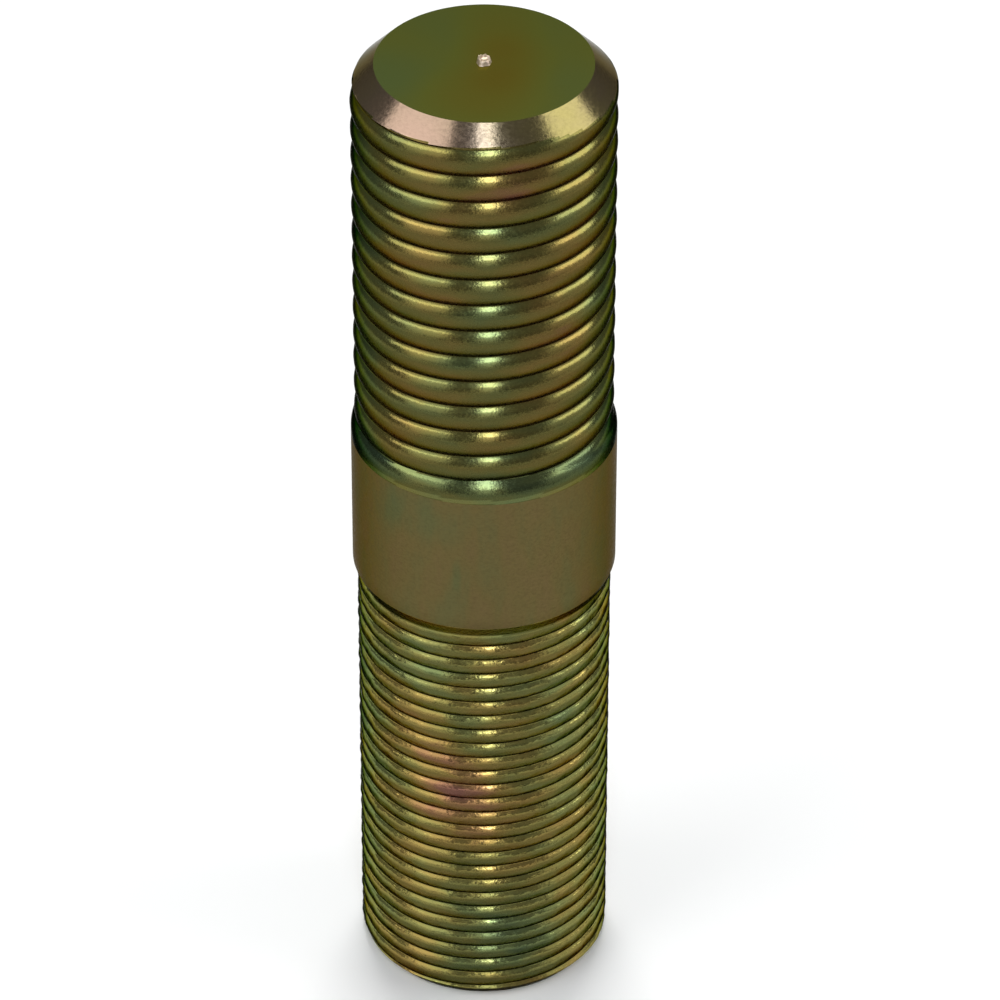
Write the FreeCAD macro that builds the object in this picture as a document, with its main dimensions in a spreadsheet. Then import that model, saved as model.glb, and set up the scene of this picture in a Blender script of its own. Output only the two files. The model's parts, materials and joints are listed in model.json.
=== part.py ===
import FreeCAD, Part
import os
import Sketcher
from FreeCAD import Vector

# Double-ended wheel stud, turned and threaded from one bar. It stands on its fine end, with the axis
# along +Z and the origin at the middle of the lower end face. The coarse thread is a true right-hand
# helix with its root left sharp. The fine end is turned to the major diameter of its thread.

# Driving sizes in millimetres, and the thread's flank angle in degrees
SIZES = {
    "fine_diameter": 21.75,
    "fine_length": 40.0,
    "fine_end_diameter": 20.0,
    "fine_chamfer_length": 1.3,
    "shoulder_length": 1.2,
    "shank_diameter": 22.4,
    "shank_length": 13.8,
    "coarse_diameter": 21.82,
    "coarse_length": 35.0,
    "coarse_end_diameter": 17.9,
    "coarse_chamfer_length": 2.0,
    "coarse_pitch": 2.5,
    "flank_angle": 60.0,
    "groove_lead": 3.86,
    "runout_length": 3.5,
    "pip_diameter": 1.25,
    "pip_height": 0.7,
}

# Blanks and cuts reach this far past the faces that they clear
PAST = 1.0

# Heights above the lower end face, as expressions on the sizes
SHOULDER = "Sizes.fine_length"
SHANK_BOTTOM = f"{SHOULDER} + Sizes.shoulder_length"
SHANK_TOP = f"{SHANK_BOTTOM} + Sizes.shank_length"
TOP = f"{SHANK_TOP} + Sizes.coarse_length"
PIP_TOP = f"{TOP} + Sizes.pip_height"
RUNOUT_TOP = f"{SHANK_TOP} + Sizes.runout_length"
GROOVE_START = f"{SHANK_TOP} - Sizes.groove_lead"

# Radii, as expressions on the sizes
FINE_RADIUS = "Sizes.fine_diameter / 2"
FINE_END_RADIUS = "Sizes.fine_end_diameter / 2"
SHANK_RADIUS = "Sizes.shank_diameter / 2"
CREST_RADIUS = "Sizes.coarse_diameter / 2"
COARSE_END_RADIUS = "Sizes.coarse_end_diameter / 2"
PIP_RADIUS = "Sizes.pip_diameter / 2"

# The groove between two crests leaves a crest flat of an eighth of the pitch, as on a metric thread
FLANK_SLOPE = "tan(Sizes.flank_angle / 2)"
HALF_GROOVE = "Sizes.coarse_pitch * 7 / 16"
ROOT_RADIUS = f"{CREST_RADIUS} - {HALF_GROOVE} / {FLANK_SLOPE}"


def add_sizes(doc):
    """Put every driving size in the spreadsheet, each under its own alias."""
    sheet = doc.addObject("Spreadsheet::Sheet", "Sizes")
    for row, (alias, value) in enumerate(SIZES.items(), start=1):
        sheet.set(f"A{row}", alias.replace("_", " "))
        sheet.set(f"B{row}", str(value))
        sheet.setAlias(f"B{row}", alias)
    doc.recompute()


def half_section(body, name, corners):
    """Draw a closed outline on the body's XZ plane, with every corner dimensioned from the origin.

    corners holds a (radius, height) pair of expressions for each corner, in order round the outline.
    """
    sketch = body.newObject("Sketcher::SketchObject", name)
    plane = next(f for f in body.Origin.OriginFeatures if f.Role == "XZ_Plane")
    sketch.AttachmentSupport = (plane, [""])
    sketch.MapMode = "FlatFace"
    rough = [Vector(1 + n % 2, n) for n in range(len(corners))]
    for start, end in zip(rough, rough[1:] + rough[:1]):
        sketch.addGeometry(Part.LineSegment(start, end))
    for line, (radius, height) in enumerate(corners):
        before = (line - 1) % len(corners)
        sketch.addConstraint(Sketcher.Constraint("Coincident", before, 2, line, 1))
        for direction, axis, size in (("DistanceX", -2, radius), ("DistanceY", -1, height)):
            if size == "0":
                sketch.addConstraint(Sketcher.Constraint("PointOnObject", line, 1, axis))
                continue
            number = sketch.addConstraint(Sketcher.Constraint(direction, -1, 1, line, 1, 1.0))
            sketch.setExpression(f"Constraints[{number}]", size)
    return sketch


def revolve(body, kind, name, corners):
    """Turn a half section about the stud's axis, as added or removed material."""
    sketch = half_section(body, f"{name}Section", corners)
    feature = body.newObject(f"PartDesign::{kind}", name)
    feature.Profile = sketch
    feature.ReferenceAxis = (sketch, ["V_Axis"])
    feature.Angle = 360
    body.Document.recompute()
    return feature


def coarse_blank(body):
    """The bar that the coarse thread is cut in, left long at the top."""
    long_end = f"{PIP_TOP} + {PAST}"
    return revolve(body, "Revolution", "CoarseBlank", [
        ("0", SHANK_TOP),
        (CREST_RADIUS, SHANK_TOP),
        (CREST_RADIUS, long_end),
        ("0", long_end),
    ])


def coarse_groove(body):
    """The right-hand V groove, swept up the bar from clear below it to clear above it."""
    # Above the crest the section's sides run straight out, so that neighbouring turns stay apart
    step = "Sizes.coarse_pitch / 25"
    mouth = f"{CREST_RADIUS} + {step}"
    half_mouth = f"({HALF_GROOVE} + {step} * {FLANK_SLOPE})"
    outside = f"{CREST_RADIUS} + {PAST}"
    sketch = half_section(body, "CoarseGrooveSection", [
        (ROOT_RADIUS, GROOVE_START),
        (mouth, f"{GROOVE_START} - {half_mouth}"),
        (outside, f"{GROOVE_START} - {half_mouth}"),
        (outside, f"{GROOVE_START} + {half_mouth}"),
        (mouth, f"{GROOVE_START} + {half_mouth}"),
    ])
    groove = body.newObject("PartDesign::SubtractiveHelix", "CoarseGroove")
    groove.Profile = sketch
    groove.ReferenceAxis = (sketch, ["V_Axis"])
    groove.Mode = "pitch-height-angle"
    groove.LeftHanded = False
    groove.setExpression("Pitch", "Sizes.coarse_pitch")
    groove.setExpression("Height", "Sizes.groove_lead + Sizes.coarse_length + 2 * Sizes.coarse_pitch")
    body.Document.recompute()
    return groove


def fine_end_and_shank(body):
    """The chamfered fine end and the shank, with the cone on which the coarse groove runs out."""
    return revolve(body, "Revolution", "FineEndAndShank", [
        ("0", "0"),
        (FINE_END_RADIUS, "0"),
        (FINE_RADIUS, "Sizes.fine_chamfer_length"),
        (FINE_RADIUS, SHOULDER),
        (SHANK_RADIUS, SHANK_BOTTOM),
        (SHANK_RADIUS, SHANK_TOP),
        (ROOT_RADIUS, RUNOUT_TOP),
        ("0", RUNOUT_TOP),
    ])


def coarse_end(body):
    """Face and chamfer the coarse end, leaving the small pip where the bar was parted off."""
    chamfer_slope = f"Sizes.coarse_chamfer_length / ({CREST_RADIUS} - {COARSE_END_RADIUS})"
    outside = f"{CREST_RADIUS} + {PAST}"
    above = f"{PIP_TOP} + 2 * {PAST}"
    return revolve(body, "Groove", "CoarseEnd", [
        ("0", PIP_TOP),
        (PIP_RADIUS, PIP_TOP),
        (PIP_RADIUS, TOP),
        (COARSE_END_RADIUS, TOP),
        (outside, f"{TOP} - {chamfer_slope} * ({outside} - {COARSE_END_RADIUS})"),
        (outside, above),
        ("0", above),
    ])


def build_stud(doc):
    """Build the stud step by step, and stop at a step that left the solid's volume as it was."""
    body = doc.addObject("PartDesign::Body", "Stud")
    body.Label = "threaded_stud"
    volume = coarse_blank(body).Shape.Volume
    for step, adds in ((coarse_groove, False), (fine_end_and_shank, True), (coarse_end, False)):
        feature = step(body)
        change = feature.Shape.Volume - volume
        if change == 0 or (change > 0) != adds:
            raise RuntimeError(f"{feature.Name} changed the solid by {change} mm3")
        volume = feature.Shape.Volume
    return body


def check(doc, bodies):
    """Stop if any object failed to build, or if a body is not one sound solid."""
    for item in doc.Objects:
        if {"Invalid", "Error"} & set(item.State):
            raise RuntimeError(f"{item.Name} failed: {item.State}")
    for body in bodies:
        shape = body.Shape
        if shape.isNull() or not shape.isValid() or len(shape.Solids) != 1:
            raise RuntimeError(f"{body.Label} is not one valid solid")


def main():
    """Build the document, check it, and write each sub-part's solid."""
    doc = FreeCAD.newDocument("ThreadedStud")
    add_sizes(doc)
    bodies = [build_stud(doc)]
    doc.recompute()
    check(doc, bodies)
    os.makedirs("parts", exist_ok=True)
    for body in bodies:
        body.Shape.exportStep(f"parts/{body.Label}.step")
        print(f"{body.Label}: {body.Shape.Volume:.1f} mm3, {len(body.Shape.Faces)} faces")


main()
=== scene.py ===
"""Looks of a double-ended wheel stud in yellow zinc, standing on its fine end.

The stud is one skin of numpy surfaces: two helical threads, the plain shank between them and the two
end faces. Lengths are in millimetres until a mesh is made, and angles round the stud start at the side
that faces the camera.
"""

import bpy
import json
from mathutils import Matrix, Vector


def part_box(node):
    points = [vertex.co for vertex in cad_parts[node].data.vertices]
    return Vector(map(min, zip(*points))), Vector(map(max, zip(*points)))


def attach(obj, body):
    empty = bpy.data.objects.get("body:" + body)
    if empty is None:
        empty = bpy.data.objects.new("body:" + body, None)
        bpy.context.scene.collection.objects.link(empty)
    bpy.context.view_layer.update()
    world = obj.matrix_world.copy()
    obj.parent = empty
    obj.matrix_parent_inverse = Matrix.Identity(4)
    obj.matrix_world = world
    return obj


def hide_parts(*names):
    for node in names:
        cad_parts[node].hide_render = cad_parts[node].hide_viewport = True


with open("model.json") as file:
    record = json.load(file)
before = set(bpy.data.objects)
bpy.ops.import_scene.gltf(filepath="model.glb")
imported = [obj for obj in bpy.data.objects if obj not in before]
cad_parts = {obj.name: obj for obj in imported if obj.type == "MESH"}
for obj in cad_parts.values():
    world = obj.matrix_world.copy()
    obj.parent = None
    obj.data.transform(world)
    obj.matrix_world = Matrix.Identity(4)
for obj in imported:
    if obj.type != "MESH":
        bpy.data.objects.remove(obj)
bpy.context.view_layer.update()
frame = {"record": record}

import json
import logging
import math
from dataclasses import dataclass
from enum import Enum

import bpy
import numpy as np
from mathutils import Matrix, Vector

log = logging.getLogger("stud")

# Metres in a millimetre
MM = 0.001
# Points in a full turn
COLUMNS = 144
# Points closer than this become one
WELD = 1e-5
# Edges that turn by more degrees than this stay crisp
CRISP_ANGLE = 40.0
# Height of the upper end face
TOP = 90.0
# Distance from the axis at which tint patches on the sides are centred
SIDE_RADIUS = 11.0

NODE = "threaded_stud"
BODY = "root"


class Finish(Enum):
    """The finishes of the stud, in the order of its material slots."""

    FINE = 0
    SHANK = 1
    COARSE = 2
    BEVEL = 3
    FACE = 4
    PIP = 5


def linear(colour: str) -> tuple[float, float, float, float]:
    """Turn an sRGB hex colour into linear light.

    Args:
        colour: six hex digits after a hash sign.

    Returns:
        Red, green and blue in linear light, and an alpha of 1.
    """
    parts = [int(colour[n:n + 2], 16) / 255 for n in (1, 3, 5)]
    red, green, blue = (c / 12.92 if c <= 0.04045 else ((c + 0.055) / 1.055) ** 2.4 for c in parts)
    return red, green, blue, 1.0


def add_node(tree: bpy.types.NodeTree, kind: str, settings: dict | None = None,
             inputs: dict | None = None, stops: list[tuple[float, str]] | None = None,
             gain: float = 1.0) -> bpy.types.Node:
    """Add a shader node with its settings and links.

    Args:
        tree: the node tree of a material or of the world.
        kind: the node's type, without its prefix.
        settings: properties of the node, by name.
        inputs: what each socket gets, by name or number: another node's output, or a constant.
        stops: places and sRGB colours, for a colour ramp.
        gain: how bright the stops are shown.

    Returns:
        The new node.
    """
    node = tree.nodes.new(f"ShaderNode{kind}")
    for name, value in (settings or {}).items():
        setattr(node, name, value)
    for name, value in (inputs or {}).items():
        if isinstance(value, bpy.types.NodeSocket):
            tree.links.new(value, node.inputs[name])
        else:
            node.inputs[name].default_value = value
    for number, (place, colour) in enumerate(stops or []):
        ramp = node.color_ramp.elements
        stop = ramp[number] if number < 2 else ramp.new(place)
        stop.position = place
        stop.color = [c * gain for c in linear(colour)[:3]] + [1.0]
    return node


def smooth(share: np.ndarray) -> np.ndarray:
    """Ease a share from 0 to 1: three times its square less twice its cube."""
    share = np.clip(share, 0.0, 1.0)
    return share * share * (3.0 - 2.0 * share)


@dataclass
class Skin:
    """A stretch of surface: its points, its four-cornered faces, their finish and each point's tilt."""

    points: np.ndarray
    faces: np.ndarray
    finish: np.ndarray
    tilt: np.ndarray


def ring_points(radius: np.ndarray, height: np.ndarray, turn: np.ndarray) -> np.ndarray:
    """Place points by radius, height and share of a turn, counted anticlockwise from the front."""
    angle = 2.0 * math.pi * turn
    return np.stack([radius * np.sin(angle), -radius * np.cos(angle), height], axis=-1)


def turned_skin(radii: np.ndarray, heights: np.ndarray, finish: np.ndarray) -> Skin:
    """Turn a half section about the axis.

    The surface is a function of two parameters, the place along the section and the share of a turn:
    each point of the section keeps its radius and height all the way round, unless it is given its own
    in each column.

    Args:
        radii: radius of each point of the section, or of each point in each column.
        heights: height of each point, in the same form.
        finish: number of the finish of each stretch between two points.

    Returns:
        The skin, facing outwards where the section runs upwards.
    """
    rows = radii.shape[0]
    turn = np.arange(COLUMNS) / COLUMNS
    radius = np.broadcast_to(radii.reshape(rows, -1), (rows, COLUMNS))
    height = np.broadcast_to(heights.reshape(rows, -1), (rows, COLUMNS))
    points = ring_points(radius, height, np.broadcast_to(turn, (rows, COLUMNS))).reshape(-1, 3)
    row, column = np.meshgrid(np.arange(rows - 1), np.arange(COLUMNS), indexing="ij")
    after = (column + 1) % COLUMNS
    corners = [row * COLUMNS + column, row * COLUMNS + after,
               (row + 1) * COLUMNS + after, (row + 1) * COLUMNS + column]
    faces = np.stack([c.ravel() for c in corners], axis=1)
    return Skin(points, faces, np.repeat(finish, COLUMNS), np.zeros(len(points)))


@dataclass(frozen=True)
class ThreadForm:
    """The section of the plated thread: wide round ridges with a narrow root between them.

    The root's rounding is a share of the pitch, and the slope is the steepest on the ridges, in degrees.
    """

    pitch: float
    crest_radius: float
    slope: float
    ridge_points: int
    root_rounding: float = 0.05

    def half(self) -> tuple[np.ndarray, np.ndarray, np.ndarray]:
        """Work out half a pitch of the section, from the middle of a ridge to the middle of the root.

        Two arcs follow each other without a corner: the ridge bends from level to the steepest slope,
        and the root bends back to level. On each arc a step along is the radius times the change of the
        slope's sine, and a step down the radius times that of its cosine.

        Returns:
            Distances from the ridge's middle, depths below its crest and slopes as shares of the
            steepest one.
        """
        steep = math.radians(self.slope)
        root = self.root_rounding * self.pitch
        ridge = self.pitch / 2 / math.sin(steep) - root
        share = np.append(np.linspace(0.0, 1.0, self.ridge_points + 1), 0.0)
        radius = np.append(np.full(self.ridge_points, ridge), root)
        along = np.concatenate([[0.0], np.cumsum(radius * np.abs(np.diff(np.sin(steep * share))))])
        down = np.concatenate([[0.0], np.cumsum(radius * np.abs(np.diff(np.cos(steep * share))))])
        return along, down, share

    @property
    def full_depth(self) -> float:
        """Depth of the root below the crest."""
        return float(self.half()[1][-1])

    def section(self) -> tuple[np.ndarray, np.ndarray, np.ndarray]:
        """Mirror the half section into one pitch, from one ridge's middle to just short of the next.

        Returns:
            Heights above the first ridge's middle, depths below its crest, and tilts from 1 for the
            steepest slope that faces up to -1 for the steepest that faces down.
        """
        along, down, share = self.half()
        height = np.concatenate([along, self.pitch - along[-2:0:-1]])
        depth = np.concatenate([down, down[-2:0:-1]])
        tilt = np.concatenate([share[:-1], [-1.0], -share[-2:0:-1]])
        return height, depth, tilt


@dataclass
class ThreadedEnd:
    """A threaded end of the stud: one thread section carried up a right-hand helix.

    The outline holds pairs of height and radius that no point passes, and the floor holds heights, radii
    and tilts of the surface on which the groove runs out.
    """

    form: ThreadForm
    low: float
    high: float
    groove_at_front: float
    outline: tuple[tuple[float, float], ...]
    floor: tuple[tuple[float, float, float], ...]
    wobble: float
    finish: Finish
    bevel_from: float
    turned_tilt: float = 0.5
    touching: float = 1e-6

    def unevenness(self, turn: np.ndarray) -> np.ndarray:
        """Small rise and fall of the rolled crests along the helix: a sum of sines that never repeats."""
        # Waves in a turn, starting angle and share of each sine
        waves = ((23.0, 0.4, 0.3), (41.7, 1.9, 0.3), (9.3, 4.2, 0.4))
        return sum(share * np.sin(2.0 * math.pi * rate * turn + start) for rate, start, share in waves)

    def strip_faces(self, steps: int, places: int) -> np.ndarray:
        """Join each place of the section to the next, and the last to the first place one turn further.

        Args:
            steps: number of steps along the helix.
            places: number of points in the section.

        Returns:
            The numbers of each face's four corners.
        """
        step, place = np.meshgrid(np.arange(steps - COLUMNS - 1), np.arange(places), indexing="ij")
        last = place == places - 1
        above = np.where(last, step + COLUMNS, step)
        over = np.where(last, 0, place + 1)
        corners = [step * places + place, (step + 1) * places + place,
                   (above + 1) * places + over, above * places + over]
        return np.stack([c.ravel() for c in corners], axis=1)

    def skin(self) -> Skin:
        """Carry the section up the helix.

        The two parameters are the share of turns along the helix and the place in the section. Height is
        the pitch times the turns plus the section's height. Radius is the crest's less the groove's
        depth, never below the floor and never past the outline. Points past the end's two heights are
        brought back to them.

        Returns:
            The skin between the two heights.
        """
        pitch = self.form.pitch
        rise, depth, tilt = self.form.section()
        first = self.groove_at_front - pitch / 2
        start = first - pitch * math.ceil((first - self.low) / pitch + 2)
        turns = math.ceil((self.high - start) / pitch + 1)
        turn = np.arange(turns * COLUMNS + 1) / COLUMNS
        height = np.clip(start + pitch * turn[:, None] + rise[None, :], self.low, self.high)
        limit = np.interp(height, *np.array(self.outline).T)
        floor_heights, floor_radii, floor_tilts = np.array(self.floor).T
        floor = np.interp(height, floor_heights, floor_radii)
        within = smooth((height - self.low) / pitch) * smooth((self.high - height) / pitch)
        on_ridge = (1.0 - depth / depth.max())[None, :]
        uneven = self.wobble * (self.unevenness(turn)[:, None] - 1.0) * on_ridge * within
        radius = np.maximum(self.form.crest_radius - depth[None, :] + uneven, floor)
        radius = np.minimum(radius, limit)
        share = np.broadcast_to(turn[:, None] % 1.0, height.shape)
        points = ring_points(radius, height, share).reshape(-1, 3)
        tilt = np.where(radius > floor, tilt[None, :], np.interp(height, floor_heights, floor_tilts))
        tilt = np.where(radius < limit, tilt, self.turned_tilt)
        faces = self.strip_faces(len(turn), len(rise))
        finish = np.full(len(faces), self.finish.value)
        bevelled = ((radius >= limit - self.touching) & (height > self.bevel_from)).ravel()
        finish[bevelled[faces].all(axis=1)] = Finish.BEVEL.value
        return Skin(points, faces, finish, tilt.ravel())


@dataclass
class Stud:
    """The whole stud: fine end, shank, coarse end and the two end faces, in millimetres above its foot.

    Slopes are in degrees. A wobble is how far the crests rise and fall, and the run-out's stretch is how
    much longer the shoulder above the shank is than half a ridge.
    """

    fine_radius: float
    shank_radius: float
    coarse_radius: float
    top: float
    pip_height: float
    fine_pitch: float = 1.5
    fine_slope: float = 50.0
    fine_ridge_points: int = 5
    fine_wobble: float = 0.07
    fine_groove_at_front: float = 38.76
    fine_end_radius: float = 9.88
    fine_chamfer: float = 1.2
    fine_shoulder: float = 1.4
    fine_runout: float = 1.5
    shank_bottom: float = 41.1
    shank_top: float = 54.0
    shank_rings: int = 12
    runout_foot: float = 54.4
    runout_stretch: float = 1.3
    coarse_pitch: float = 2.5
    coarse_slope: float = 44.0
    coarse_ridge_points: int = 8
    coarse_wobble: float = 0.012
    coarse_groove_at_front: float = 85.85
    coarse_end_radius: float = 8.95
    coarse_chamfer: float = 2.0
    pip_radius: float = 0.64

    def fine_end(self) -> Skin:
        """Thread the fine end, from the foot's chamfer to the run-out under the shank.

        Returns:
            The skin of the fine end.
        """
        form = ThreadForm(self.fine_pitch, self.fine_radius, self.fine_slope, self.fine_ridge_points)
        root = self.fine_radius - form.full_depth
        outline = ((0.0, self.fine_end_radius), (self.fine_chamfer, self.fine_radius),
                   (self.shank_bottom - self.fine_shoulder, self.fine_radius),
                   (self.shank_bottom, self.shank_radius))
        floor = ((self.shank_bottom - self.fine_runout, root, 0.0),
                 (self.shank_bottom, self.shank_radius, 0.0))
        end = ThreadedEnd(
            form, low=0.0, high=self.shank_bottom, groove_at_front=self.fine_groove_at_front,
            outline=outline, floor=floor, wobble=self.fine_wobble, finish=Finish.FINE,
            bevel_from=self.top)
        return end.skin()

    def coarse_end(self) -> Skin:
        """Thread the coarse end, from the run-out above the shank to the chamfer at the top.

        The run-out's floor is half a thread section, stretched upwards and swelled out to the shank.

        Returns:
            The skin of the coarse end.
        """
        form = ThreadForm(self.coarse_pitch, self.coarse_radius, self.coarse_slope,
                          self.coarse_ridge_points)
        root = self.coarse_radius - form.full_depth
        chamfer_foot = self.top - self.coarse_chamfer
        outline = ((self.shank_top, self.shank_radius), (chamfer_foot, self.coarse_radius),
                   (self.top, self.coarse_end_radius))
        along, down, share = form.half()
        swell = (self.shank_radius - root) / form.full_depth
        floor = ((self.shank_top, self.shank_radius, 0.0),
                 *zip(self.runout_foot + self.runout_stretch * along,
                      self.shank_radius - swell * down, share))
        end = ThreadedEnd(
            form, low=self.shank_top, high=self.top, groove_at_front=self.coarse_groove_at_front,
            outline=outline, floor=floor, wobble=self.coarse_wobble, finish=Finish.COARSE,
            bevel_from=chamfer_foot)
        return end.skin()

    def shank(self) -> Skin:
        """Turn the plain shank, a straight length between the two threads.

        Returns:
            The skin of the shank.
        """
        radii = np.full(self.shank_rings, self.shank_radius)
        heights = np.linspace(self.shank_bottom, self.shank_top, self.shank_rings)
        return turned_skin(radii, heights, np.full(self.shank_rings - 1, Finish.SHANK.value))

    def foot(self) -> Skin:
        """Face the lower end, from its middle out to the chamfer, as level rings.

        Returns:
            The skin of the lower end face.
        """
        radii = self.fine_end_radius * np.array([0.0, 0.3, 0.6, 0.85, 0.97, 1.0])
        return turned_skin(radii, np.zeros(len(radii)), np.full(len(radii) - 1, Finish.FACE.value))

    def head(self) -> Skin:
        """Face the upper end, and leave the torn stub where the bar was parted off.

        On the face each ring keeps its radius. The stub's sides are rings that draw in a little as they
        rise, with furrows that follow a sine of five waves round the turn. Its top closes over a torn
        rim: highest at the back left, and broken by sines of three and seven waves.

        Returns:
            The skin, from the chamfer in to the middle.
        """
        angle = 2.0 * math.pi * np.arange(COLUMNS) / COLUMNS
        face = self.coarse_end_radius * np.array([1.0, 0.985, 0.9, 0.7, 0.45, 0.25, 0.13])
        rise = np.array([0.0, 0.1, 0.35, 0.6, 0.85, 1.0, 1.0, 0.93, 0.85, 0.8, 0.8])
        draw = np.array([1.0, 0.96, 0.9, 0.86, 0.8, 0.72, 0.62, 0.5, 0.32, 0.15, 0.0])
        furrow = 1.0 - 0.13 * (0.5 + 0.5 * np.sin(5.0 * angle + 0.9)) - 0.05 * np.sin(2.0 * angle)
        rim = (0.66 + 0.2 * np.cos(angle + 2.3) + 0.1 * np.sin(3.0 * angle + 0.5)
               + 0.06 * np.sin(7.0 * angle))
        rim = np.clip(rim, 0.3, 1.0)
        # Inside the rim the top sinks to one level, so that it closes without folds
        torn = np.where(draw[:, None] < 0.55, rim.mean() * 0.85, rim[None, :])
        radii = np.concatenate([np.repeat(face[:, None], COLUMNS, axis=1),
                                self.pip_radius * draw[:, None] * furrow[None, :]])
        heights = np.concatenate([np.full((len(face), COLUMNS), self.top),
                                  self.top + self.pip_height * rise[:, None] * torn])
        finish = np.full(len(radii) - 1, Finish.FACE.value)
        finish[len(face):] = Finish.PIP.value
        return turned_skin(radii, heights, finish)

    def build(self) -> bpy.types.Object:
        """Join the skins into one closed mesh.

        Points that fall together become one. A face that loses one corner to that becomes a triangle,
        and one that loses more is left out.

        Returns:
            The stud's object, at the origin.
        """
        skins = [self.foot(), self.fine_end(), self.shank(), self.coarse_end(), self.head()]
        starts = np.cumsum([0] + [len(s.points) for s in skins[:-1]])
        points = np.concatenate([s.points for s in skins])
        faces = np.concatenate([s.faces + start for s, start in zip(skins, starts)])
        finish = np.concatenate([s.finish for s in skins])
        tilt = np.concatenate([s.tilt for s in skins])
        _, first, same = np.unique(np.round(points / WELD).astype(np.int64), axis=0,
                                   return_index=True, return_inverse=True)
        faces = same.ravel()[faces]
        doubled = faces == np.roll(faces, -1, axis=1)
        whole = ~doubled.any(axis=1)
        three = doubled.sum(axis=1) == 1
        shift = np.argmax(doubled[three], axis=1)
        order = (shift[:, None] + np.arange(1, 4)[None, :]) % 4
        triangles = np.take_along_axis(faces[three], order, axis=1)
        sorted_corners = np.sort(triangles, axis=1)
        real = (sorted_corners[:, 1:] != sorted_corners[:, :-1]).all(axis=1)
        mesh = bpy.data.meshes.new("stud_skin")
        mesh.from_pydata((points[first] * MM).tolist(), [],
                         faces[whole].tolist() + triangles[real].tolist())
        slots = np.concatenate([finish[whole], finish[three][real]]).astype(np.int32)
        mesh.polygons.foreach_set("material_index", slots)
        mesh.shade_smooth()
        mesh.set_sharp_from_angle(angle=math.radians(CRISP_ANGLE))
        facing = mesh.attributes.new("tilt", "FLOAT", "POINT")
        facing.data.foreach_set("value", tilt[first].astype(np.float32))
        mesh.update()
        piece = bpy.data.objects.new("stud", mesh)
        bpy.context.scene.collection.objects.link(piece)
        return piece

    def dress(self, piece: bpy.types.Object) -> None:
        """Give the stud's mesh its finishes, one material slot for each."""
        for finish in Finish:
            piece.data.materials.append(FINISHES[finish].material())


def on_side(angle: float, height: float) -> tuple[float, float, float]:
    """Find a place on the stud's side by its angle in degrees to the right of the front, and its height."""
    turn = math.radians(angle)
    return SIDE_RADIUS * math.sin(turn), -SIDE_RADIUS * math.cos(turn), height


@dataclass(frozen=True)
class TintAndShadePatch:
    """A place on the stud where the zinc's colour film is thicker or thinner than round about; on the far
    sides these patches are painted shade.
    """

    middle: tuple[float, float, float]
    size: tuple[float, float, float]
    shift: float


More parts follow.
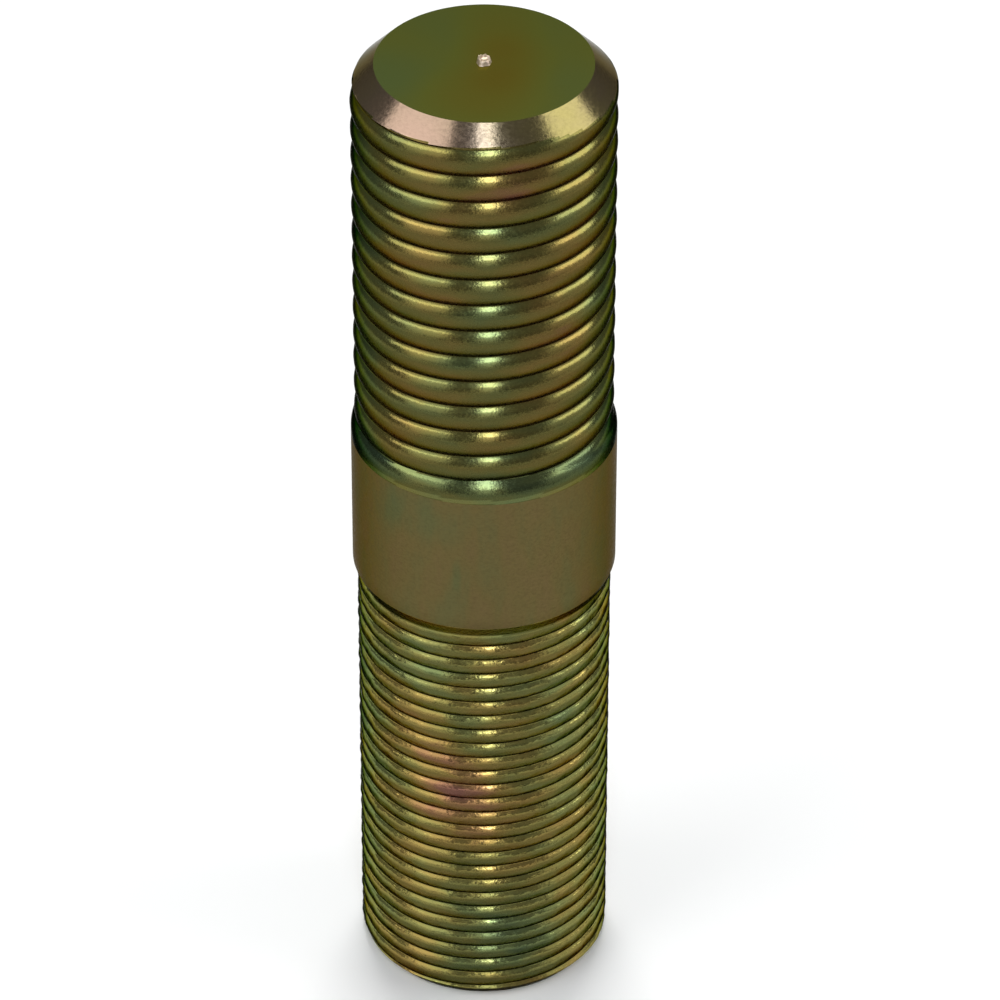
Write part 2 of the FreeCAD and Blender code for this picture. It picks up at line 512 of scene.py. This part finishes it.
@dataclass(frozen=True)
class YellowZinc:
    """Steel with yellow passivated zinc: a thin colour film on metal, whose thickness sets its tint.

    It gives the eye a dark, oily gold that wanders to green and pink over a few millimetres. Film
    thickness runs from 0 to 1 over the tints, and pattern sizes are in millimetres. On a thread the sides
    that face up keep the full colour, and the rest can be rubbed rougher or more pitted, and darkened by
    painted shade. The plating's real grain measures hundredths of a millimetre, too fine to show, so it
    is drawn several times coarser.
    """

    name: str
    film: float
    roughness: float
    mottle: tuple[float, float, float]
    spread: float
    grain: tuple[float, float, float]
    pitting: float
    crest_roughness: float | None = None
    crest_pitting: float = 1.0
    # Painted shade: share of the full colour left on crests and on sides that face down
    painted_shade_tint: float = 1.0
    tilt_shift: float = 0.0
    gain: float = 1.0
    detail: float = 3.0
    grain_detail: float = 2.0
    smoothest: float = 0.75
    roughest: float = 1.3
    cloud_range: tuple[float, float] = (0.3, 0.7)
    wear_tilts: tuple[float, float] = (0.2, 0.8)
    shade_tilts: tuple[float, float] = (0.25, 0.75)
    relief: float = 0.02
    edge: str = "#a4a49a"
    patches: tuple[TintAndShadePatch, ...] = ()
    stops: tuple[tuple[float, str], ...] = (
        (0.0, "#44543f"), (0.22, "#646d44"), (0.42, "#736d3c"), (0.6, "#826d3c"),
        (0.75, "#886646"), (0.88, "#80584e"), (1.0, "#62545a"))

    def material(self) -> bpy.types.Material:
        """Build the material from the film's thickness up.

        Returns:
            The material.
        """
        material = bpy.data.materials.new(self.name)
        material.use_nodes = True
        tree = material.node_tree
        tree.nodes.clear()
        place = add_node(tree, "TexCoord").outputs["Object"]
        film = self.spread_out(tree, self.pattern(tree, place, self.mottle, self.detail),
                               self.film - self.spread, self.film + self.spread)
        for patch in self.patches:
            film = self.shifted(tree, place, film, patch)
        rough = self.roughness
        pitting = self.pitting
        shade = None
        normal = {}
        if self.pitting:
            grain = self.pattern(tree, place, self.grain, self.grain_detail)
            rough = self.spread_out(tree, grain, self.roughness * self.smoothest,
                                    self.roughness * self.roughest)
        if self.crest_roughness is not None:
            tilt = add_node(tree, "Attribute", {"attribute_name": "tilt"}).outputs["Fac"]
            film = add_node(tree, "Math", {"operation": "MULTIPLY_ADD"},
                            {0: tilt, 1: self.tilt_shift, 2: film}).outputs[0]
            worn = self.by_tilt(tree, tilt, self.wear_tilts, self.crest_roughness / self.roughness, 1.0)
            rough = add_node(tree, "Math", {"operation": "MULTIPLY"}, {0: rough, 1: worn}).outputs[0]
            pitting = self.by_tilt(tree, tilt, self.wear_tilts, self.crest_pitting, self.pitting)
            # Painted shade: crests and sides that face down are drawn darker than the sides that face up
            shade = self.by_tilt(tree, tilt, self.shade_tilts, self.painted_shade_tint, 1.0)
        ramp = add_node(tree, "ValToRGB", None, {"Fac": film}, list(self.stops), self.gain)
        tint = ramp.outputs["Color"]
        if shade is not None:
            tint = add_node(tree, "VectorMath", {"operation": "SCALE"},
                            {0: tint, "Scale": shade}).outputs["Vector"]
        if self.pitting:
            bump = add_node(tree, "Bump", None, {
                "Strength": pitting, "Distance": self.relief * MM, "Height": grain})
            normal = {"Normal": bump.outputs["Normal"]}
        shader = add_node(tree, "BsdfPrincipled", None, {
            "Base Color": tint, "Metallic": 1.0, "Roughness": rough,
            "Specular Tint": linear(self.edge), **normal})
        add_node(tree, "OutputMaterial", None, {"Surface": shader.outputs["BSDF"]})
        return material

    def pattern(self, tree: bpy.types.NodeTree, place: bpy.types.NodeSocket,
                size: tuple[float, float, float], detail: float) -> bpy.types.NodeSocket:
        """Add a cloudy pattern whose features measure the given millimetres along each axis."""
        scaled = add_node(tree, "Mapping", None, {
            "Vector": place, "Scale": [1.0 / (s * MM) for s in size]})
        return add_node(tree, "TexNoise", None, {
            "Vector": scaled.outputs["Vector"], "Scale": 1.0, "Detail": detail}).outputs["Fac"]

    def spread_out(self, tree: bpy.types.NodeTree, pattern: bpy.types.NodeSocket, low: float,
                   high: float) -> bpy.types.NodeSocket:
        """Stretch a cloudy pattern's usual range over the given one."""
        return add_node(tree, "MapRange", None, {
            "Value": pattern, "From Min": self.cloud_range[0], "From Max": self.cloud_range[1],
            "To Min": low, "To Max": high}).outputs["Result"]

    def by_tilt(self, tree: bpy.types.NodeTree, tilt: bpy.types.NodeSocket,
                tilts: tuple[float, float], low: float, high: float) -> bpy.types.NodeSocket:
        """Pass from one value to another between two tilts of the surface."""
        return add_node(tree, "MapRange", None, {
            "Value": tilt, "From Min": tilts[0], "From Max": tilts[1],
            "To Min": low, "To Max": high}).outputs["Result"]

    def shifted(self, tree: bpy.types.NodeTree, place: bpy.types.NodeSocket,
                film: bpy.types.NodeSocket, patch: TintAndShadePatch) -> bpy.types.NodeSocket:
        """Add a soft-edged patch to the film's thickness.

        Args:
            tree: the material's node tree.
            place: where on the stud a point lies.
            film: the film's thickness so far.
            patch: the patch to add.

        Returns:
            The film's thickness with the patch.
        """
        moved = add_node(tree, "Mapping", None, {
            "Vector": place, "Location": [-m / s for m, s in zip(patch.middle, patch.size)],
            "Scale": [1.0 / (s * MM) for s in patch.size]})
        far = add_node(tree, "VectorMath", {"operation": "LENGTH"}, {0: moved.outputs["Vector"]})
        share = add_node(tree, "MapRange", {"interpolation_type": "SMOOTHSTEP"}, {
            "Value": far.outputs["Value"], "From Min": 0.1, "From Max": 1.0,
            "To Min": patch.shift, "To Max": 0.0})
        return add_node(tree, "Math", {"operation": "ADD"},
                        {0: film, 1: share.outputs["Result"]}).outputs[0]


@dataclass(frozen=True)
class Lamp:
    """A soft box: the direction it stands in, seen from the stud, and that of its width.

    Its distance, width and height are in metres, and its power is in watts.
    """

    name: str
    direction: tuple[float, float, float]
    side: tuple[float, float, float]
    distance: float
    width: float
    height: float
    power: float
    colour: str = "#ffffff"

    def build(self, target: Vector) -> None:
        """Hang the lamp so that it faces the stud.

        Args:
            target: the place on the stud that the lamp faces.
        """
        data = bpy.data.lights.new(self.name, "AREA")
        data.shape = "RECTANGLE"
        data.size = self.width
        data.size_y = self.height
        data.energy = self.power
        data.color = linear(self.colour)[:3]
        lamp = bpy.data.objects.new(self.name, data)
        back = Vector(self.direction).normalized()
        along = Vector(self.side)
        along = (along - along.dot(back) * back).normalized()
        turn = Matrix((along, back.cross(along), back)).transposed()
        lamp.matrix_world = Matrix.Translation(target + back * self.distance) @ turn.to_4x4()
        bpy.context.scene.collection.objects.link(lamp)


@dataclass(frozen=True)
class Studio:
    """Pale floor, soft light and the camera at the photograph's angle.

    The camera's aim is a height on the stud's axis, its elevation is in degrees, and the floor's size is
    in metres. The fill is the strength of the light from all round.
    """

    aim: float = 46.33
    distance: float = 516.2
    elevation: float = 36.2424
    lens: float = 219.2
    shift: float = 0.0159
    floor_size: float = 6.0
    fill: float = 0.22

    def camera(self) -> None:
        """Stand the camera in front of the stud, above it, looking down at its axis."""
        data = bpy.data.cameras.new("camera")
        data.sensor_width = 36.0
        data.lens = self.lens
        data.shift_x = self.shift
        data.clip_start = 0.01
        data.clip_end = 100.0
        camera = bpy.data.objects.new("camera", data)
        tilt = math.radians(self.elevation)
        away = Vector((0.0, -math.cos(tilt), math.sin(tilt)))
        camera.location = Vector((0.0, 0.0, self.aim * MM)) + away * self.distance * MM
        camera.rotation_mode = "QUATERNION"
        camera.rotation_quaternion = (-away).to_track_quat("-Z", "Y")
        bpy.context.scene.collection.objects.link(camera)
        bpy.context.scene.camera = camera

    def floor(self) -> None:
        """Lay a floor of matt white board under the stud, which shows its soft shadow and no gloss."""
        half = self.floor_size / 2
        corners = [(-half, -half, 0.0), (half, -half, 0.0), (half, half, 0.0), (-half, half, 0.0)]
        mesh = bpy.data.meshes.new("floor")
        mesh.from_pydata(corners, [], [(0, 1, 2, 3)])
        material = bpy.data.materials.new("matt_white_board")
        material.use_nodes = True
        tree = material.node_tree
        tree.nodes.clear()
        shader = add_node(tree, "BsdfDiffuse", None, {"Color": linear("#f8f8f6")})
        add_node(tree, "OutputMaterial", None, {"Surface": shader.outputs["BSDF"]})
        mesh.materials.append(material)
        floor = bpy.data.objects.new("floor", mesh)
        bpy.context.scene.collection.objects.link(floor)

    def world(self) -> None:
        """Fill the room with a plain soft grey."""
        world = bpy.data.worlds.new("studio")
        world.use_nodes = True
        tree = world.node_tree
        tree.nodes.clear()
        light = add_node(tree, "Background", None, {"Color": linear("#ffffff"), "Strength": self.fill})
        add_node(tree, "OutputWorld", None, {"Surface": light.outputs["Background"]})
        bpy.context.scene.world = world

    def lamps(self) -> None:
        """Hang a soft box with a low panel under it on each side and in front, and one box behind."""
        target = Vector((0.0, 0.0, self.aim * MM))
        for lamp in (
            Lamp("left_box", (-0.71, -0.28, 0.645), (-0.585, 0.745, -0.322), 0.8, 0.70, 0.38, 1.85),
            Lamp("left_panel", (-0.74, -0.58, 0.33), (-0.615, 0.76, -0.21), 0.9, 0.58, 0.57, 1.05),
            Lamp("right_box", (0.85, -0.06, 0.522), (0.302, 0.874, -0.382), 0.8, 0.52, 0.38, 1.6),
            Lamp("right_panel", (0.93, -0.25, 0.23), (0.32, 0.91, -0.27), 0.9, 0.76, 0.48, 0.55),
            Lamp("front_strip", (0.02, -0.707, 0.707), (1.0, 0.0, 0.0), 0.9, 0.17, 0.52, 2.0, "#e6eeff"),
            Lamp("front_panel", (0.02, -0.94, 0.342), (1.0, 0.0, 0.0), 1.0, 0.22, 0.72, 0.85),
            Lamp("back_box", (0.0, 0.45, 0.89), (1.0, 0.0, 0.0), 1.2, 0.50, 0.50, 8.6),
        ):
            lamp.build(target)

    def build(self) -> None:
        """Set the stage."""
        bpy.context.scene.view_settings.view_transform = "Standard"
        self.camera()
        self.floor()
        self.world()
        self.lamps()


FINISHES = {
    # Rolled and plated: glossy flanks, dull rubbed crests with small nicks, gold to green with a pink
    # patch; the crests, the sides that face down and the far sides are darkened by painted shade
    Finish.FINE: YellowZinc(
        "rolled_fine_thread_zinc", film=0.45, roughness=0.17, mottle=(5.0, 5.0, 1.5), spread=0.16,
        grain=(0.32, 0.32, 0.2), pitting=0.45, crest_roughness=0.26, crest_pitting=0.8,
        painted_shade_tint=0.36, gain=1.8, relief=0.05, edge="#5c5c56",
        patches=(
            TintAndShadePatch(on_side(-32.0, 28.0), (5.0, 6.0, 5.0), 0.18),
            TintAndShadePatch(on_side(-12.0, 21.6), (7.0, 6.0, 8.0), 0.26),
            TintAndShadePatch(on_side(-32.0, 36.0), (6.0, 6.0, 5.0), -0.2),
            TintAndShadePatch(on_side(12.0, 7.0), (9.0, 6.0, 8.0), -0.24),
            TintAndShadePatch(on_side(40.0, 31.0), (6.0, 6.0, 7.0), -0.14),
            # Painted shade: the far left and right sides are drawn darker and greener
            TintAndShadePatch(on_side(-88.0, 20.0), (5.0, 14.0, 60.0), -0.22),
            TintAndShadePatch(on_side(88.0, 20.0), (4.5, 14.0, 60.0), -0.15))),
    # Turned and plated: a satin olive brown without bright lights, with one short scuff
    Finish.SHANK: YellowZinc(
        "turned_shank_zinc", film=0.53, roughness=0.42, mottle=(2.0, 2.0, 6.0), spread=0.13,
        grain=(0.3, 0.3, 0.2), pitting=0.35, gain=0.6, edge="#a29e9c",
        stops=((0.0, "#687250"), (0.3, "#72724a"), (0.55, "#7e7046"), (1.0, "#886b4e")),
        patches=(
            TintAndShadePatch(on_side(-35.0, 52.0), (6.0, 6.0, 4.0), -0.2),
            TintAndShadePatch(on_side(-12.0, 46.4), (0.6, 3.0, 2.6), -0.2))),
    # Rolled and plated: glossy ridges of dark gold, with a green shoulder where the thread runs out; the
    # crests, the sides that face down and the far sides are darkened by painted shade
    Finish.COARSE: YellowZinc(
        "rolled_coarse_thread_zinc", film=0.47, roughness=0.17, gain=1.15, mottle=(6.0, 6.0, 2.0),
        spread=0.16, grain=(0.22, 0.22, 0.18), pitting=0.3, crest_roughness=0.3, crest_pitting=0.6,
        painted_shade_tint=0.45, relief=0.03, tilt_shift=-0.1, edge="#5c5c56",
        patches=(
            TintAndShadePatch(on_side(14.0, 85.0), (5.0, 6.0, 4.0), 0.25),
            TintAndShadePatch(on_side(0.0, 72.0), (4.0, 6.0, 14.0), -0.12),
            TintAndShadePatch(on_side(34.0, 70.0), (6.0, 6.0, 12.0), 0.1),
            TintAndShadePatch((0.0, 0.0, 55.4), (60.0, 60.0, 2.4), -0.26),
            # Painted shade: the far left and right sides are drawn darker and greener
            TintAndShadePatch(on_side(-88.0, 72.0), (4.5, 14.0, 60.0), -0.24),
            TintAndShadePatch(on_side(88.0, 72.0), (4.0, 14.0, 60.0), -0.16))),
    # Turned smooth: the brightest part, a rosy gold on the left that passes to a greenish one on the right
    Finish.BEVEL: YellowZinc(
        "turned_bevel_zinc", film=0.45, roughness=0.18, mottle=(5.0, 5.0, 2.0), spread=0.1,
        grain=(0.3, 0.3, 0.2), pitting=0.4, gain=1.2,
        stops=((0.0, "#7e7549"), (0.5, "#7a6c58"), (1.0, "#897364")),
        patches=(
            TintAndShadePatch(on_side(-35.0, 89.0), (8.0, 8.0, 8.0), 0.5),
            TintAndShadePatch(on_side(42.0, 89.0), (8.0, 8.0, 8.0), -0.45))),
    # Faced and plated: an even olive green that clouds softly to brown gold
    Finish.FACE: YellowZinc(
        "faced_end_zinc", film=0.25, roughness=0.25, mottle=(9.0, 9.0, 9.0), spread=0.12,
        grain=(0.4, 0.4, 0.4), pitting=0.0, detail=0.0,
        stops=((0.0, "#6c7a44"), (0.3, "#767b38"), (0.65, "#7b7530"), (1.0, "#7c6c28")),
        patches=(
            TintAndShadePatch((1.2, 5.0, TOP), (5.0, 6.0, 5.0), 0.3),
            TintAndShadePatch((1.4, 0.0, TOP), (5.5, 6.0, 5.0), 0.4),
            TintAndShadePatch((0.0, -5.0, TOP), (7.5, 6.0, 5.0), 0.45),
            TintAndShadePatch((-7.5, -1.5, TOP), (5.0, 6.0, 5.0), -0.25))),
    # Torn steel with little zinc on it: pale, rough and fibrous
    Finish.PIP: YellowZinc(
        "torn_pip_steel", film=0.5, roughness=0.5, mottle=(0.3, 0.3, 0.6), spread=0.4,
        grain=(0.12, 0.12, 0.5), pitting=0.8,
        stops=((0.0, "#b0a08c"), (0.5, "#d2c0a8"), (1.0, "#dcc6b8"))),
}


def stud_from_frame() -> Stud:
    """Take the stud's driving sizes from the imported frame.

    Returns:
        The stud, with the mounts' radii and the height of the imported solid.
    """
    mounts = {m["name"]: m["dims"] for m in frame["record"]["mounts"]}
    _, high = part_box(NODE)
    return Stud(
        fine_radius=mounts["fine_thread_end"]["r_mm"],
        shank_radius=mounts["shank"]["r_mm"],
        coarse_radius=mounts["coarse_thread_end"]["r_mm"],
        top=TOP,
        pip_height=high.z / MM - TOP,
    )


def main() -> None:
    """Build the stud and the studio, and log the stud's points and triangles."""
    logging.basicConfig(level=logging.INFO, format="%(message)s")
    stud = stud_from_frame()
    piece = stud.build()
    stud.dress(piece)
    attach(piece, BODY)
    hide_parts(NODE)
    triangles = sum(len(p.vertices) - 2 for p in piece.data.polygons)
    log.info("stud: %d points, %d triangles", len(piece.data.vertices), triangles)
    Studio().build()


if __name__ == "__main__":
    main()
